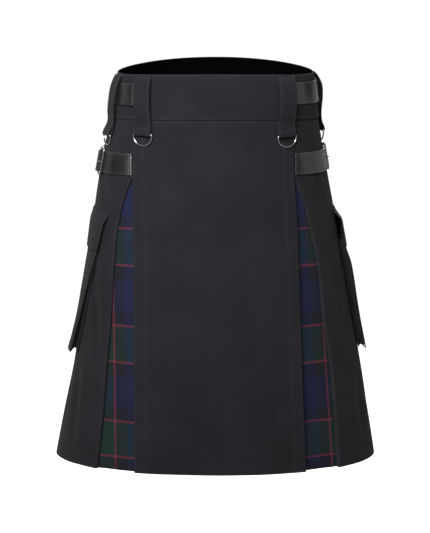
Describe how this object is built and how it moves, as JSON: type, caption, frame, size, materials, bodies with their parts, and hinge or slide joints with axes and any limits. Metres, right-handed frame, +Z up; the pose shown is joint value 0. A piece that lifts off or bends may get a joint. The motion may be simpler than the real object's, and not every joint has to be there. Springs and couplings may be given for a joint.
{
  "type": "utility kilt",
  "caption": "Black utility kilt in its worn form, with a plain apron, tartan pleat insets, cargo pockets, belt loops with D-rings, and buckled leather straps.",
  "frame": {"origin": "middle of the waistband: halfway up it, at the centre of the waist opening, where the wearer's waist holds the kilt", "axes": "+Z up, -Y towards the front apron, +X towards the wearer's left"},
  "size_m": [0.4992, 0.35, 0.6097],
  "materials": {
    "black_cotton": "matte black cotton twill with a faint bluish sheen",
    "tartan_cloth": "navy, bottle green and black check with fine red lines",
    "black_leather": "smooth black leather, semi-gloss",
    "nickel": "dark polished nickel"
  },
  "bodies": {
    "kilt": {"waistband": "black_cotton", "apron": "black_cotton", "under_apron": "black_cotton", "pleated_back": "black_cotton", "side_panel_right": "black_cotton", "side_panel_left": "black_cotton", "inset_right": "tartan_cloth", "inset_left": "tartan_cloth", "pocket_panel_right": "black_cotton", "pocket_panel_left": "black_cotton", "pocket_gusset_right": "black_cotton", "pocket_gusset_left": "black_cotton", "pocket_flap_right": "black_cotton", "pocket_flap_left": "black_cotton", "loop_front_right": "black_cotton", "loop_front_left": "black_cotton", "loop_side_right": "black_cotton", "loop_side_left": "black_cotton", "loop_back_right": "black_cotton", "loop_back_left": "black_cotton", "strap_waist_right": "black_leather", "strap_waist_left": "black_leather", "strap_hip_right": "black_leather", "strap_hip_left": "black_leather", "tab_waist_right": "black_leather", "tab_waist_left": "black_leather", "tab_hip_right": "black_leather", "tab_hip_left": "black_leather", "buckle_waist_right": "nickel", "buckle_waist_left": "nickel", "buckle_hip_right": "nickel", "buckle_hip_left": "nickel", "prong_waist_right": "nickel", "prong_waist_left": "nickel", "prong_hip_right": "nickel", "prong_hip_left": "nickel", "keeper_waist_right": "black_leather", "keeper_waist_left": "black_leather", "keeper_hip_right": "black_leather", "keeper_hip_left": "black_leather"},
    "ring_front_right": {"ring_front_right": "nickel"},
    "ring_front_left": {"ring_front_left": "nickel"},
    "ring_side_right": {"ring_side_right": "nickel"},
    "ring_side_left": {"ring_side_left": "nickel"}
  },
  "joints": [
    {"name": "swing_front_right", "type": "hinge", "parent": "kilt", "child": "ring_front_right", "pos_m": [-0.10973, -0.09115, -0.05809], "axis": [-0.8443, 0.5359, 0], "range_deg": [0, 135]},
    {"name": "swing_front_left", "type": "hinge", "parent": "kilt", "child": "ring_front_left", "pos_m": [0.10939, -0.09012, -0.06016], "axis": [-0.85, -0.5268, 0], "range_deg": [0, 135]},
    {"name": "swing_side_right", "type": "hinge", "parent": "kilt", "child": "ring_side_right", "pos_m": [-0.1658, -0.03155, -0.06549], "axis": [-0.337, 0.9415, 0], "range_deg": [0, 135]},
    {"name": "swing_side_left", "type": "hinge", "parent": "kilt", "child": "ring_side_left", "pos_m": [0.16435, 0.0306, -0.06552], "axis": [0.242, -0.9703, 0], "range_deg": [-3, 135]}
  ]
}
